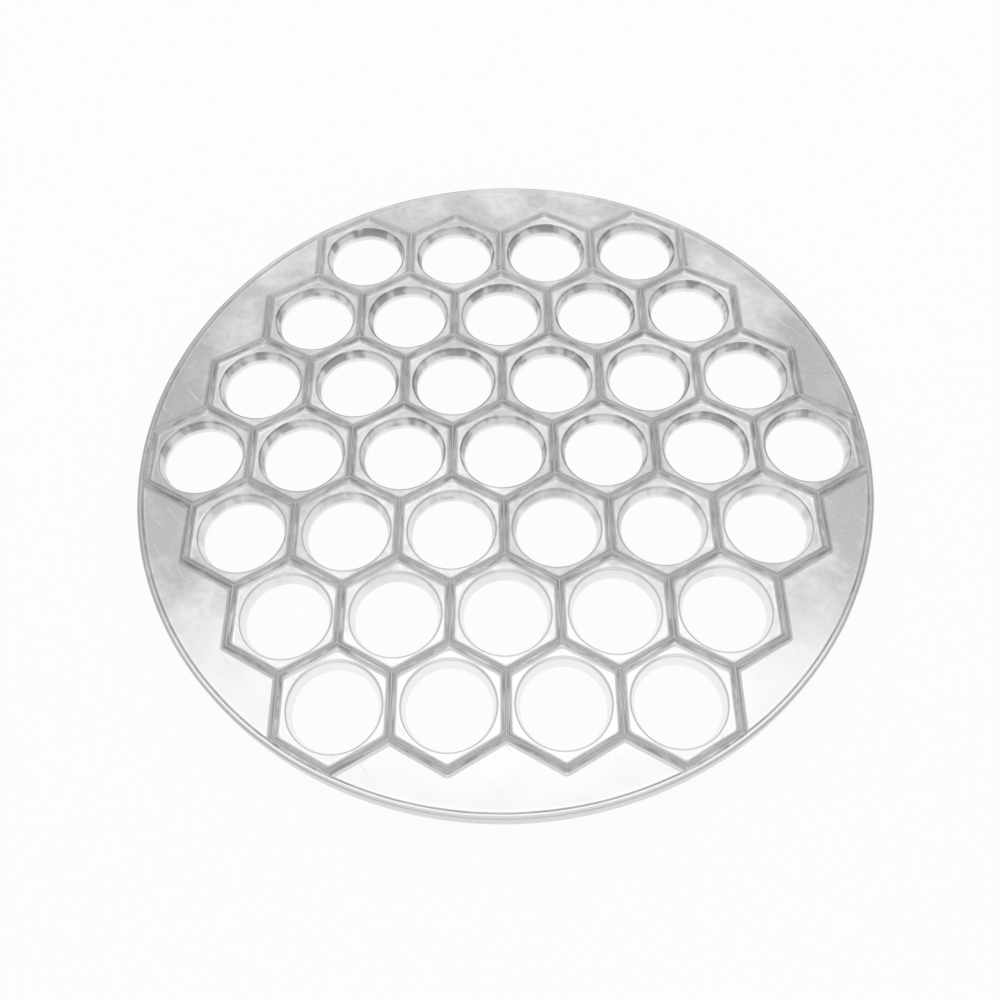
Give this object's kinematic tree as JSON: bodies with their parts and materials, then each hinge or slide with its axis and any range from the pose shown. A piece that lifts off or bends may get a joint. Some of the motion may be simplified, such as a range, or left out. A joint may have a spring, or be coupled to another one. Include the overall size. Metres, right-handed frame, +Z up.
{
  "type": "dumpling mould",
  "caption": "Round cast-aluminium dumpling mould: a honeycomb of raised hexagonal cutting ribs, a round hole in every cell, a flat border and a low lip round the edge.",
  "frame": {"origin": "on the ground under the middle cell, the centre of the foot ring", "axes": "+Z up, out of the cutting ribs; +Y towards the back row of cells in the picture; +X to its right"},
  "size_m": [0.2406, 0.2406, 0.0076],
  "materials": {
    "cast_aluminium": "bare cast aluminium, satin, faintly mottled, with fine handling scratches"
  },
  "bodies": {
    "root": {"cell_row1_1": "cast_aluminium", "cell_row1_2": "cast_aluminium", "cell_row1_3": "cast_aluminium", "cell_row1_4": "cast_aluminium", "cell_row2_1": "cast_aluminium", "cell_row2_2": "cast_aluminium", "cell_row2_3": "cast_aluminium", "cell_row2_4": "cast_aluminium", "cell_row2_5": "cast_aluminium", "cell_row3_1": "cast_aluminium", "cell_row3_2": "cast_aluminium", "cell_row3_3": "cast_aluminium", "cell_row3_4": "cast_aluminium", "cell_row3_5": "cast_aluminium", "cell_row3_6": "cast_aluminium", "cell_row4_1": "cast_aluminium", "cell_row4_2": "cast_aluminium", "cell_row4_3": "cast_aluminium", "cell_row4_4": "cast_aluminium", "cell_row4_5": "cast_aluminium", "cell_row4_6": "cast_aluminium", "cell_row4_7": "cast_aluminium", "cell_row5_1": "cast_aluminium", "cell_row5_2": "cast_aluminium", "cell_row5_3": "cast_aluminium", "cell_row5_4": "cast_aluminium", "cell_row5_5": "cast_aluminium", "cell_row5_6": "cast_aluminium", "cell_row6_1": "cast_aluminium", "cell_row6_2": "cast_aluminium", "cell_row6_3": "cast_aluminium", "cell_row6_4": "cast_aluminium", "cell_row6_5": "cast_aluminium", "cell_row7_1": "cast_aluminium", "cell_row7_2": "cast_aluminium", "cell_row7_3": "cast_aluminium", "cell_row7_4": "cast_aluminium", "border_panel_1": "cast_aluminium", "border_panel_2": "cast_aluminium", "border_panel_3": "cast_aluminium", "border_panel_4": "cast_aluminium", "border_panel_5": "cast_aluminium", "border_panel_6": "cast_aluminium", "rim": "cast_aluminium"}
  },
  "joints": []
}
